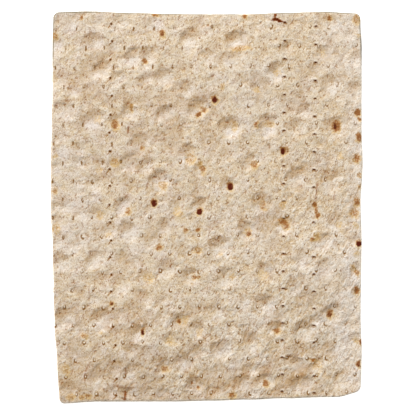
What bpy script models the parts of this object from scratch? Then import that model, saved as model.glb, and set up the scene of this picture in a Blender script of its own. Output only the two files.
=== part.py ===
"""A lavash: one thin rectangular sheet of docked flatbread, lying flat with its pitted face up.

The sheet is one closed solid. Its upper face carries the hollows of the baked dough, the rows of
small docking marks and three columns of slits. Its underside rests on a flat patch under the
middle and on four low spots; elsewhere it has shallow hollows and lifts a little in slow waves. X
is the sheet's width, Y its length, and the origin is under the middle of the sheet, on the
surface it lies on.
"""

import math

import bpy
import numpy as np
from mathutils import Vector
from mathutils.geometry import delaunay_2d_cdt

MM = 0.001  # every size below is in millimetres, and becomes metres as the mesh is made

# The sheet
SHEET_WIDTH = 243.5
SHEET_LENGTH = 305.8
THICKNESS = 2.9
CORNER_RADIUS = 4.5
RIM_WIDTH = 3.5  # how far in from a side the sheet takes to reach its full thickness
RIM_LOW = 0.5  # lower and upper limits of the upright edge of the rim
RIM_HIGH = 1.7

# How far each side lies inside the sheet's full width or length, at even stations:
# the left and right sides from the near end to the far end, the others from left to right.
LEFT_SIDE = (7.0, 5.2, 3.1, 2.3, 1.6, 0.0, 0.2, 0.8, 1.6, 1.6, 2.3)
RIGHT_SIDE = (1.6, 0.8, 1.6, 1.3, 0.8, 1.6, 0.0, 0.8, 0.8, 0.8, 1.9)
NEAR_SIDE = (0.0, 1.6, 1.6, 1.6, 2.3, 3.1, 4.1, 5.1, 5.6)
FAR_SIDE = (0.8, 0.0, 1.2, 1.9, 2.3, 2.3, 1.2, 0.2, 1.6)
CORNER_CUT = 4.2  # the near side's right corner is pulled in by this much more
CORNER_CUT_LENGTH = 17.0  # over this last stretch

# Slow waves that lift parts of the sheet off the surface, and two corners that curl up
WAVE_LIFT = 2.2
WAVE_ACROSS = 150.0
WAVE_ALONG = 190.0
WAVE_SLANT = 0.35
WAVE_STARTS = (0.5, -0.4)  # phases of the two waves
CORNER_CURL = 2.0
CURL_START = 0.72  # as a share of the way from the middle to the corner

# Where the sheet touches the surface: a flat patch round the middle, and four low spots
REST_PATCH_RADIUS = 18.0
REST_PATCH_SIDES = 12
REST_SPOTS = ((-86.0, 112.0), (97.0, 121.0), (-98.0, -119.0), (88.0, -108.0))
REST_SPREAD = 10.0  # the rise from there takes this far
REST_CLEARANCE = 0.15  # and is at least this much

# The widest hollows of the upper face, by their centres, row by row from the far end
WIDE_HOLLOWS = (
    (-65, 145), (-88, 131), (21, 133), (-60, 121), (26, 120), (-82, 107), (-33, 104), (54, 107),
    (-109, 77), (-88, 70), (-59, 75), (-31, 74), (-6, 76), (18, 62), (48, 64), (-61, 34),
    (-13, 40), (-87, 16), (-36, 17), (70, 23), (99, 25), (-114, 0), (-66, 0), (-22, -3),
    (43, 3), (-59, -20), (10, -29), (32, -19), (61, -15), (-86, -42), (-30, -49), (47, -50),
    (90, -47), (-68, -58), (-11, -53), (16, -54), (67, -60), (-110, -85), (-80, -85), (-21, -85),
    (7, -82), (46, -73), (96, -79), (-54, -96), (31, -103), (75, -96), (12, -110), (-32, -124),
    (-86, -133), (-7, -138), (46, -133), (72, -135),
)
WIDE_ACROSS = (12.8, 15.2)
WIDE_DEPTH = (1.15, 1.55)

# Smaller hollows fill the rest of the upper face by a rule
SMALL_HOLLOW_TRIES = 4000
SMALL_ACROSS = (8.5, 11.5)
SMALL_DEPTH = (0.6, 1.0)
SMALL_SPACING = 17.0

FLOOR_SHARE = 0.2  # the share of a hollow's radius that is flat floor

# Shallow hollows of the underside, clear of where it rests
UNDER_HOLLOW_TRIES = 600
UNDER_ACROSS = (15.0, 19.0)
UNDER_DEPTH = (0.35, 0.6)
UNDER_SPACING = 24.0

# Docking marks: staggered rows of small round dents, fading towards the far right corner
PIN_ROWS = 21
FIRST_ROW = 139.6  # at the left side
ROW_PITCH = 15.2
ROW_PITCH_GAIN = 0.049  # the rows draw together by this much more at each step
ROW_RISE = 2.4  # from the left side to the right
PIN_PITCH = 15.13
PIN_COLUMNS = 17
FIRST_PIN = -112.0
PIN_BOW = 2.2  # the columns bow to the left by this much, half-way along
PIN_DEPTH = 0.6
PIN_RADIUS = 1.3
PIN_STRENGTH = 0.75  # of a mark in the middle of the sheet
PIN_FADE = 0.45  # lost over a full width or length of the sheet
FAINTEST_PIN = 0.45

# Three columns of slits, each by its place across at the far end, half-way and at the near end
SLIT_COLUMNS = ((-74.2, -75.2, -71.0), (61.0, 59.6, 58.6), (85.0, 82.8, 83.6))
SLITS_IN_COLUMN = 21
FIRST_SLIT = 143.0
SLIT_PITCH = 14.1
SLIT_PITCH_GAIN = 0.021
SLIT_DEPTH = 0.9
SLIT_RADIUS = 1.5

# Fine unevenness of the whole upper face
CRAG_HEIGHT = 0.11
CRAG_LENGTHS = (7.0, 9.0, 12.0, 16.0, 23.0)
SEED = 12

# Spacing of the mesh's points
OUTLINE_STEP = 6.6
TIGHTEST_CORNER = 0.3  # of the corner radius, on a ring inside the outline
CORNER_POINT = 0.45  # the extra point of a corner, as a share of that ring's radius
FACE_STEP = 6.4
UNDER_STEP = 15.0
LATTICE_CLEARANCE = 0.62  # of the lattice's step, kept from the points of a feature
CLEAR_OF_MARK = 1.9
SAME_POINT = 1e-6

CRUMB_COLOUR = (0.64, 0.505, 0.363, 1.0)
CRUMB_ROUGHNESS = 0.88


def stepped(stations, t):
    """The value at t, from 0 to 1, of a smooth curve through values given at even stations."""
    values = np.asarray(stations)
    place = np.clip(t, 0.0, 1.0) * (len(values) - 1)
    before = np.minimum(place.astype(int), len(values) - 2)
    part = place - before
    blend = part * part * (3.0 - 2.0 * part)
    return values[before] * (1.0 - blend) + values[before + 1] * blend


def side_limits(x, y):
    """The left, right, near and far sides of the sheet beside and below a point."""
    across = np.asarray(x) / SHEET_WIDTH + 0.5
    along = np.asarray(y) / SHEET_LENGTH + 0.5
    cut = np.clip((across - 1.0) * SHEET_WIDTH / CORNER_CUT_LENGTH + 1.0, 0.0, 1.0)
    left = -SHEET_WIDTH / 2 + stepped(LEFT_SIDE, along)
    right = SHEET_WIDTH / 2 - stepped(RIGHT_SIDE, along)
    near = -SHEET_LENGTH / 2 + stepped(NEAR_SIDE, across) + CORNER_CUT * cut
    far = SHEET_LENGTH / 2 - stepped(FAR_SIDE, across)
    return left, right, near, far


def round_corner(a, b):
    """Two distances in from adjoining sides, with the square corner drawn in to an arc."""
    p = np.clip(1.0 - a / CORNER_RADIUS, 0.0, 1.0)
    q = np.clip(1.0 - b / CORNER_RADIUS, 0.0, 1.0)
    reach = np.maximum(p, q)
    angle = math.pi / 4 * np.minimum(p, q) / np.maximum(reach, SAME_POINT)
    larger = reach * np.cos(angle)
    smaller = reach * np.sin(angle)
    a_shift = p - np.where(p >= q, larger, smaller)
    b_shift = q - np.where(p >= q, smaller, larger)
    return a + CORNER_RADIUS * a_shift, b + CORNER_RADIUS * b_shift


def placed(x, y):
    """Points of a plain rectangle moved into the sheet's own outline, with its round corners."""
    a = SHEET_WIDTH / 2 - np.abs(x)
    b = SHEET_LENGTH / 2 - np.abs(y)
    a, b = round_corner(a, b)
    across = np.where(x < 0, a, SHEET_WIDTH - a) / SHEET_WIDTH
    along = np.where(y < 0, b, SHEET_LENGTH - b) / SHEET_LENGTH
    left, right, near, far = side_limits(x, y)
    return left + (right - left) * across, near + (far - near) * along


def ring(inset):
    """Points round the sheet, anticlockwise, this far inside its outline."""
    half_x = SHEET_WIDTH / 2 - inset
    half_y = SHEET_LENGTH / 2 - inset
    corner = max(CORNER_RADIUS - inset, TIGHTEST_CORNER * CORNER_RADIUS)

    def stations(half):
        steps = round(2 * (half - corner) / OUTLINE_STEP)
        run = np.linspace(-half + corner, half - corner, steps + 1)
        extra = half - CORNER_POINT * corner
        return np.concatenate([[-half, -extra], run, [extra]])

    along_x = stations(half_x)
    along_y = stations(half_y)
    x = np.concatenate([along_x, np.full(len(along_y), half_x), -along_x, np.full(len(along_y), -half_x)])
    y = np.concatenate([np.full(len(along_x), -half_y), along_y, np.full(len(along_x), half_y), -along_y])
    return np.column_stack(placed(x, y))


def inside_distance(x, y):
    """How far a point lies inside the nearest side."""
    left, right, near, far = side_limits(x, y)
    return np.minimum(np.minimum(x - left, right - x), np.minimum(y - near, far - y))


def scattered(rng, tries, spacing, margin, taken):
    """Points drawn at random over the sheet, each kept if it is clear of the sides and the others."""
    kept = [np.asarray(point, float) for point in taken]
    found = []
    draws = rng.uniform(-0.5, 0.5, (tries, 2)) * (SHEET_WIDTH, SHEET_LENGTH)
    for point in draws:
        if inside_distance(*point) < margin:
            continue
        if kept and np.hypot(*(np.array(kept) - point).T).min() < spacing:
            continue
        kept.append(point)
        found.append(point)
    return np.array(found)


def sized(rng, centres, across, depth):
    """Rows of x, y, radius and depth for hollows at these centres."""
    centres = np.asarray(centres, float)
    size = rng.uniform(0.0, 1.0, len(centres))
    deep = np.clip(size + rng.uniform(-0.35, 0.35, len(centres)), 0.0, 1.0)
    radius = (across[0] + (across[1] - across[0]) * size) / 2
    return np.column_stack([centres, radius, depth[0] + (depth[1] - depth[0]) * deep])


def upper_hollows(rng):
    wide = sized(rng, WIDE_HOLLOWS, WIDE_ACROSS, WIDE_DEPTH)
    places = scattered(rng, SMALL_HOLLOW_TRIES, SMALL_SPACING, SMALL_ACROSS[1] / 2, WIDE_HOLLOWS)
    return np.concatenate([wide, sized(rng, places, SMALL_ACROSS, SMALL_DEPTH)])


def under_hollows(rng):
    widest = UNDER_ACROSS[1] / 2
    places = scattered(rng, UNDER_HOLLOW_TRIES, UNDER_SPACING, widest + RIM_WIDTH, REST_SPOTS)
    places = places[np.hypot(*places.T) > REST_PATCH_RADIUS + widest]
    return sized(rng, places, UNDER_ACROSS, UNDER_DEPTH)


def pin_marks():
    """Rows of x, y, radius and depth for the docking marks, the odd rows half a pitch along."""
    marks = []
    for row in range(PIN_ROWS):
        y_left = FIRST_ROW - (ROW_PITCH - ROW_PITCH_GAIN * row) * row
        shift = 0.0 if row % 2 else PIN_PITCH / 2
        for column in range(PIN_COLUMNS):
            y = y_left + ROW_RISE * column / PIN_COLUMNS
            bow = PIN_BOW * (1.0 - (2.0 * y / SHEET_LENGTH) ** 2)
            x = FIRST_PIN + PIN_BOW + shift + PIN_PITCH * column - bow
            fade = PIN_STRENGTH - PIN_FADE * (x / SHEET_WIDTH + y / SHEET_LENGTH)
            if inside_distance(x, y) > RIM_WIDTH + PIN_RADIUS and fade > FAINTEST_PIN:
                marks.append((x, y, PIN_RADIUS, PIN_DEPTH * min(fade, 1.0)))
    return np.array(marks)


def slit_marks():
    """Rows of x, y, radius and depth for the three columns of slits."""
    marks = []
    for far, middle, near in SLIT_COLUMNS:
        for step in range(SLITS_IN_COLUMN):
            y = FIRST_SLIT - (SLIT_PITCH - SLIT_PITCH_GAIN * step) * step
            x = float(stepped((near, middle, far), np.array(y / SHEET_LENGTH + 0.5)))
            if inside_distance(x, y) > RIM_WIDTH + SLIT_RADIUS:
                marks.append((x, y, SLIT_RADIUS, SLIT_DEPTH))
    return np.array(marks)


def bowls(x, y, marks):
    """The depth at each point of round bowls with flat floors, the deeper ruling where two meet."""
    away = np.hypot(x[:, None] - marks[:, 0], y[:, None] - marks[:, 1]) / marks[:, 2]
    rise = np.clip((1.0 - away) / (1.0 - FLOOR_SHARE), 0.0, 1.0)
    depth = marks[:, 3] * rise * rise * (3.0 - 2.0 * rise)
    return (depth**4).sum(axis=1) ** 0.25


def standing(x, y):
    """From 0 where the sheet touches the surface, on the patch and the spots, to 1 away from them."""
    away = np.hypot(x, y) - REST_PATCH_RADIUS
    for spot_x, spot_y in REST_SPOTS:
        away = np.minimum(away, np.hypot(x - spot_x, y - spot_y))
    part = np.clip(away / REST_SPREAD, 0.0, 1.0)
    return part * part * (3.0 - 2.0 * part)


def lift(x, y):
    """How far the whole sheet stands off the surface, from its slow waves and curled corners."""
    across = np.cos(2 * math.pi * (x + WAVE_SLANT * y) / WAVE_ACROSS + WAVE_STARTS[0])
    along = np.cos(2 * math.pi * (y - WAVE_SLANT * x) / WAVE_ALONG + WAVE_STARTS[1])
    wave = np.clip(-0.5 * (across + along), 0.0, 1.0)
    corner = np.abs(y / SHEET_LENGTH - x / SHEET_WIDTH)
    curl = np.clip((corner - CURL_START) / (1.0 - CURL_START), 0.0, 1.0)
    return standing(x, y) * (REST_CLEARANCE + WAVE_LIFT * wave**2 + CORNER_CURL * curl**2)


def crags(rng):
    """A function of place that gives the fine unevenness of the face: a few seeded waves summed."""
    turns = rng.uniform(0.0, math.pi, (len(CRAG_LENGTHS), 2))
    phases = rng.uniform(0.0, 2 * math.pi, (len(CRAG_LENGTHS), 2))

    def height(x, y):
        total = np.zeros_like(x)
        for length, turn, phase in zip(CRAG_LENGTHS, turns, phases):
            for way, start in zip(turn, phase):
                total += np.sin(2 * math.pi * (x * math.cos(way) + y * math.sin(way)) / length + start)
        return CRAG_HEIGHT * total / math.sqrt(len(CRAG_LENGTHS))

    return height


def rim(x, y):
    """From 0 at the edge to 1 where the sheet has its full thickness, as a quarter circle."""
    part = np.clip(1.0 - inside_distance(x, y) / RIM_WIDTH, 0.0, 1.0)
    return np.sqrt(1.0 - part * part)


def upper_height(x, y, hollows, marks, uneven):
    """The upper face: full thickness less the hollows and marks, drawn down to the rim."""
    full = THICKNESS + uneven(x, y) - bowls(x, y, hollows) - bowls(x, y, marks)
    return lift(x, y) + RIM_HIGH + (full - RIM_HIGH) * rim(x, y)


def under_height(x, y, hollows):
    """The underside: on the surface, less the lift, its shallow hollows and the turn of the rim."""
    return lift(x, y) + RIM_LOW * (1.0 - rim(x, y)) + bowls(x, y, hollows)


def round_points(marks, counts):
    """Points round each mark: its centre, and for each (share, count) a ring at that share."""
    points = [marks[:, :2]]
    for share, count in counts:
        for turn in range(count):
            angle = 2 * math.pi * (turn + 0.5 * share) / count
            way = np.array([math.cos(angle), math.sin(angle)])
            points.append(marks[:, :2] + share * marks[:, 2:3] * way)
    return np.concatenate(points)


def lattice(step):
    """Points of a triangular lattice over the sheet's rectangle."""
    rows = np.arange(-SHEET_LENGTH / 2, SHEET_LENGTH / 2, step * math.sqrt(3) / 2)
    columns = np.arange(-SHEET_WIDTH / 2, SHEET_WIDTH / 2, step)
    x = columns[None, :] + step / 2 * (np.arange(len(rows)) % 2)[:, None]
    y = np.broadcast_to(rows[:, None], x.shape)
    return np.column_stack([x.ravel(), y.ravel()])


def spaced(groups):
    """Groups of (points, clearance) joined: a point is kept if it is that clear of the ones before."""
    kept = groups[0][0]
    for points, clearance in groups[1:]:
        points = points[inside_distance(*points.T) > RIM_WIDTH + 0.5 * clearance]
        for point in points:
            if np.hypot(*(kept - point).T).min() > clearance:
                kept = np.vstack([kept, point])
    return kept


def triangulated(points, outline_count):
    """Triangles over the points inside the outline, which is the first outline_count of them."""
    flat = [Vector(point) for point in points]
    outline = [list(range(outline_count))]
    inside = 1
    verts, _, faces, origins, _, _ = delaunay_2d_cdt(flat, [], outline, inside, SAME_POINT)
    came_from = {new: old[0] for new, old in enumerate(origins) if old}
    if len(came_from) != len(verts) or len(verts) != len(points):
        raise ValueError("two points of a face coincide")
    return [[came_from[corner] for corner in face] for face in faces]


def closed_sheet(upper, upper_z, under, under_z, outline_count):
    """One closed mesh of both faces and the upright edge between their shared outlines."""
    first_under = len(upper)
    above = triangulated(upper, outline_count)
    below = [[first_under + i for i in reversed(face)] for face in triangulated(under, outline_count)]
    edge = []
    for i in range(outline_count):
        after = (i + 1) % outline_count
        edge.append([first_under + i, first_under + after, after])
        edge.append([first_under + i, after, i])
    points = np.vstack([np.column_stack([upper, upper_z]), np.column_stack([under, under_z])])
    mesh = bpy.data.meshes.new("lavash")
    mesh.from_pydata((points * MM).tolist(), [], above + below + edge)
    mesh.validate()
    mesh.shade_smooth()
    mesh.set_sharp_from_angle(angle=math.radians(50))
    return mesh


def crumb_material():
    material = bpy.data.materials.new("baked_crumb")
    material.use_nodes = True
    shader = material.node_tree.nodes["Principled BSDF"]
    shader.inputs["Base Color"].default_value = CRUMB_COLOUR
    shader.inputs["Roughness"].default_value = CRUMB_ROUGHNESS
    shader.inputs["Metallic"].default_value = 0.0
    return material


def main():
    for obj in list(bpy.data.objects):
        bpy.data.objects.remove(obj)
    rng = np.random.default_rng(SEED)
    hollows = upper_hollows(rng)
    under = under_hollows(rng)
    marks = np.concatenate([pin_marks(), slit_marks()])
    uneven = crags(rng)

    outline = ring(0.0)
    upper_points = spaced([
        (np.vstack([outline, ring(RIM_WIDTH)]), 0.0),
        (round_points(marks, [(1.0, 4)]), SAME_POINT),
        (round_points(hollows, [(0.5, 5), (1.0, 8)]), CLEAR_OF_MARK),
        (lattice(FACE_STEP), LATTICE_CLEARANCE * FACE_STEP),
    ])
    patch = np.array([(0.0, 0.0, REST_PATCH_RADIUS, 0.0)])
    under_points = spaced([
        (np.vstack([outline, ring(RIM_WIDTH)]), 0.0),
        (np.vstack([REST_SPOTS, round_points(patch, [(1.0, REST_PATCH_SIDES)])]), SAME_POINT),
        (round_points(under, [(1.0, 6)]), CLEAR_OF_MARK),
        (lattice(UNDER_STEP), LATTICE_CLEARANCE * UNDER_STEP),
    ])
    mesh = closed_sheet(
        upper_points,
        upper_height(*upper_points.T, hollows, marks, uneven),
        under_points,
        under_height(*under_points.T, under),
        len(outline),
    )
    sheet = bpy.data.objects.new("lavash", mesh)
    sheet.data.materials.append(crumb_material())
    bpy.context.scene.collection.objects.link(sheet)


main()
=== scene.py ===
import math

import bpy
import numpy as np
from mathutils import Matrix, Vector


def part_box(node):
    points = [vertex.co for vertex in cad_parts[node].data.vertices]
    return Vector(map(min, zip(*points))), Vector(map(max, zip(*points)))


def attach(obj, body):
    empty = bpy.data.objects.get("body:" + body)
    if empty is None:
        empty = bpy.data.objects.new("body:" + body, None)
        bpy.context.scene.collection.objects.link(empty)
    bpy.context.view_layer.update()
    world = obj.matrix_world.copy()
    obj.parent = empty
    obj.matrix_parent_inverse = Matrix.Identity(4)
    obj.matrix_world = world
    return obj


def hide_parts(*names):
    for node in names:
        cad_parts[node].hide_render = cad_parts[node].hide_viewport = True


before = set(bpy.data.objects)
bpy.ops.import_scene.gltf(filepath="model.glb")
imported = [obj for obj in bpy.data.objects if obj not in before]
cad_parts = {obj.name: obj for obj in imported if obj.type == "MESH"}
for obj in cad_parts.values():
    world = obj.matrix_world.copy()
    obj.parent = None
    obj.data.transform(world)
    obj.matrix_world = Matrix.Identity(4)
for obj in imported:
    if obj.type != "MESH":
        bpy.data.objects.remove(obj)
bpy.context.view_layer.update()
print("frame loaded:", ", ".join(sorted(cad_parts)))

# lengths of the sheet are in millimetres, and become metres where they meet the mesh or a shader
mm = 0.001
cadLow, cadHigh = (np.array(corner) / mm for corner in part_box("lavash"))


def held(values, low=0.0, high=1.0):
    # values kept between two limits
    return np.clip(values, low, high)


def smooth(share):
    # the smooth step: 3t^2 - 2t^3 of a share held between 0 and 1
    t = held(share)
    return t * t * (3.0 - 2.0 * t)


def fade(values, start, end):
    # the smooth step on the way from start to end
    return smooth((values - start) / (end - start))


def bell(away, width):
    # e to the power of minus the square of the distance over the width
    return np.exp(-((away / width) ** 2))


def stepped(stations, share):
    # a smooth curve through values at even stations, read at a share of the way from 0 to 1
    values = np.asarray(stations)
    place = held(share) * (len(values) - 1)
    before = np.minimum(place.astype(int), len(values) - 2)
    part = smooth(place - before)
    return values[before] * (1.0 - part) + values[before + 1] * part


def noise(x, y, size, seed):
    # random values at the corners of a square lattice, joined by smooth steps, from -1 to 1
    reach = 260.0
    count = int(2 * reach / size) + 3
    corners = np.random.default_rng(seed).uniform(-1.0, 1.0, (count, count))
    column = (x + reach) / size
    row = (y + reach) / size
    i = np.clip(column.astype(int), 0, count - 2)
    j = np.clip(row.astype(int), 0, count - 2)
    s = smooth(column - i)
    t = smooth(row - j)
    near = corners[j, i] * (1 - s) + corners[j, i + 1] * s
    far = corners[j + 1, i] * (1 - s) + corners[j + 1, i + 1] * s
    return near * (1 - t) + far * t


def shaken(x, y, amount, size, seed):
    # a point moved across by noise, then along by noise of the next seed
    x = x + amount * noise(x, y, size, seed)
    return x, y + amount * noise(x, y, size, seed + 1)


def layeredNoise(x, y, size, layers, seed):
    # noise of one size plus finer layers, each half as large, 0.6 as strong and turned a little
    total = np.zeros_like(x)
    for layer in range(layers):
        turn = 0.5 + 1.1 * layer
        u = x * math.cos(turn) - y * math.sin(turn)
        v = x * math.sin(turn) + y * math.cos(turn)
        total += 0.6**layer * noise(u, v, size * 0.5**layer, seed + 7 * layer)
    return total


# the sheet as it is cut and laid: its outline, its rim and the waves it lies in
sheet = {
    "width": 243.5,
    "length": 305.8,
    "thickness": 2.9,
    "cornerRadius": 4.5,
    "rimWidth": 2.0,
    "rimLow": 0.5,
    "rimHigh": 1.7,
    # how far each side lies in from the full width or length, at even stations
    "leftSide": (7.0, 5.2, 3.1, 2.3, 1.6, 0.0, 0.2, 0.8, 1.6, 1.6, 2.3),
    "rightSide": (1.6, 0.8, 1.6, 1.3, 0.8, 1.6, 0.0, 0.8, 0.8, 0.8, 1.9),
    "nearSide": (0.0, 1.6, 1.6, 1.6, 2.3, 3.1, 4.1, 5.1, 5.6),
    "farSide": (0.8, 0.0, 1.2, 1.9, 2.3, 2.3, 1.2, 0.2, 1.6),
    "cornerCut": 4.2,  # how far the near right corner is cut back
    "cornerCutLength": 17.0,
    # the sides stray inwards: by this much, give or take an amount of noise of a size and seed
    "stray": 0.16,
    "strayNoise": ((0.12, 8.0, 71), (0.08, 2.6, 72)),
    "strayReach": 5.0,
    "strayCorner": 0.97,  # both sides stray where their reaches are this alike
    "edgeHeight": 1.15,
    "edgeNoise": (0.2, 3.0, 81),
    "edgeStep": 0.3,  # the edge's middle lies at least this far below the upper face
    "waveLift": 2.2,
    "waveAcross": 150.0,
    "waveAlong": 190.0,
    "waveSlant": 0.35,
    "waveStarts": (0.5, -0.4),
    "cornerCurl": 2.0,
    "curlStart": 0.72,
    "restPatch": 18.0,
    "restSpots": ((-86.0, 112.0), (97.0, 121.0), (-98.0, -119.0), (88.0, -108.0)),
    "restSpread": 10.0,
    "restClearance": 0.15,
    # blisters and grit of the table side: size, layers, seed, where they start, the most and height
    "blisters": (17.0, 2, 301, 0.15, 1.0, 0.55),
    "underGrit": (4.0, 2, 302, -0.2, 2.0, 0.07),
    "paleRim": 2.2,  # how far in the pale rim reaches, painted light that is strongest on the near right side
    "paleRimShare": (0.2, 0.8),  # everywhere, and more towards the near right
    "paleRimTurn": 1.4,
    "inBox": 0.02,  # kept clear inside the box of the plain solid
}


def toCorner(x, y):
    # from -1 at the far left corner of the sheet to 1 at the near right one
    return x / sheet["width"] - y / sheet["length"]


def sideLimits(x, y):
    # left, right, near and far side beside and below a point: the full size less the stations
    across = x / sheet["width"] + 0.5
    along = y / sheet["length"] + 0.5
    cut = held((across - 1.0) * sheet["width"] / sheet["cornerCutLength"] + 1.0)
    left = -sheet["width"] / 2 + stepped(sheet["leftSide"], along)
    right = sheet["width"] / 2 - stepped(sheet["rightSide"], along)
    near = -sheet["length"] / 2 + stepped(sheet["nearSide"], across) + sheet["cornerCut"] * cut
    far = sheet["length"] / 2 - stepped(sheet["farSide"], across)
    return left, right, near, far


def roundCorner(a, b):
    # distances in from two sides: near a corner each square ring becomes a quarter arc
    radius = sheet["cornerRadius"]
    p = held(1.0 - a / radius)
    q = held(1.0 - b / radius)
    reach = np.maximum(p, q)
    angle = math.pi / 4 * np.minimum(p, q) / np.maximum(reach, 1e-6)
    longer = reach * np.cos(angle)
    shorter = reach * np.sin(angle)
    aShift = p - np.where(p >= q, longer, shorter)
    bShift = q - np.where(p >= q, shorter, longer)
    return a + radius * aShift, b + radius * bShift


def placed(x, y):
    # a point of the plain rectangle, carried into the sheet's outline side by side
    a, b = roundCorner(sheet["width"] / 2 - np.abs(x), sheet["length"] / 2 - np.abs(y))
    across = np.where(x < 0, a, sheet["width"] - a) / sheet["width"]
    along = np.where(y < 0, b, sheet["length"] - b) / sheet["length"]
    left, right, near, far = sideLimits(x, y)
    return left + (right - left) * across, near + (far - near) * along


def standing(x, y):
    # 0 where the sheet touches the table, on the middle patch and the low spots, to 1 away from them
    away = np.hypot(x, y) - sheet["restPatch"]
    for spotX, spotY in sheet["restSpots"]:
        away = np.minimum(away, np.hypot(x - spotX, y - spotY))
    return smooth(away / sheet["restSpread"])


def lift(x, y):
    # how far the sheet stands off the table: two crossing waves squared, and two curled corners
    slant = sheet["waveSlant"]
    across = np.cos(2 * math.pi * (x + slant * y) / sheet["waveAcross"] + sheet["waveStarts"][0])
    along = np.cos(2 * math.pi * (y - slant * x) / sheet["waveAlong"] + sheet["waveStarts"][1])
    wave = held(-0.5 * (across + along))
    curl = held((np.abs(toCorner(x, y)) - sheet["curlStart"]) / (1.0 - sheet["curlStart"]))
    rise = sheet["restClearance"] + sheet["waveLift"] * wave**2 + sheet["cornerCurl"] * curl**2
    return standing(x, y) * rise


def rim(inset):
    # a quarter circle over the rim's width, from 0 at the edge to 1
    part = held(1.0 - inset / sheet["rimWidth"])
    return np.sqrt(1.0 - part * part)


def strayed(x, y, inset):
    # the sides moved inwards by a few tenths, less and less over the first millimetres
    inwards = sheet["stray"]
    for amount, size, seed in sheet["strayNoise"]:
        inwards = inwards + amount * noise(x, y, size, seed)
    near = held(1.0 - inset / sheet["strayReach"])
    reachX, reachY = np.abs(x) / sheet["width"], np.abs(y) / sheet["length"]
    alike = sheet["strayCorner"] * np.maximum(reachX, reachY)
    shift = near * inwards
    return x - np.sign(x) * shift * (reachX > alike), y - np.sign(y) * shift * (reachY > alike)


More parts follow.
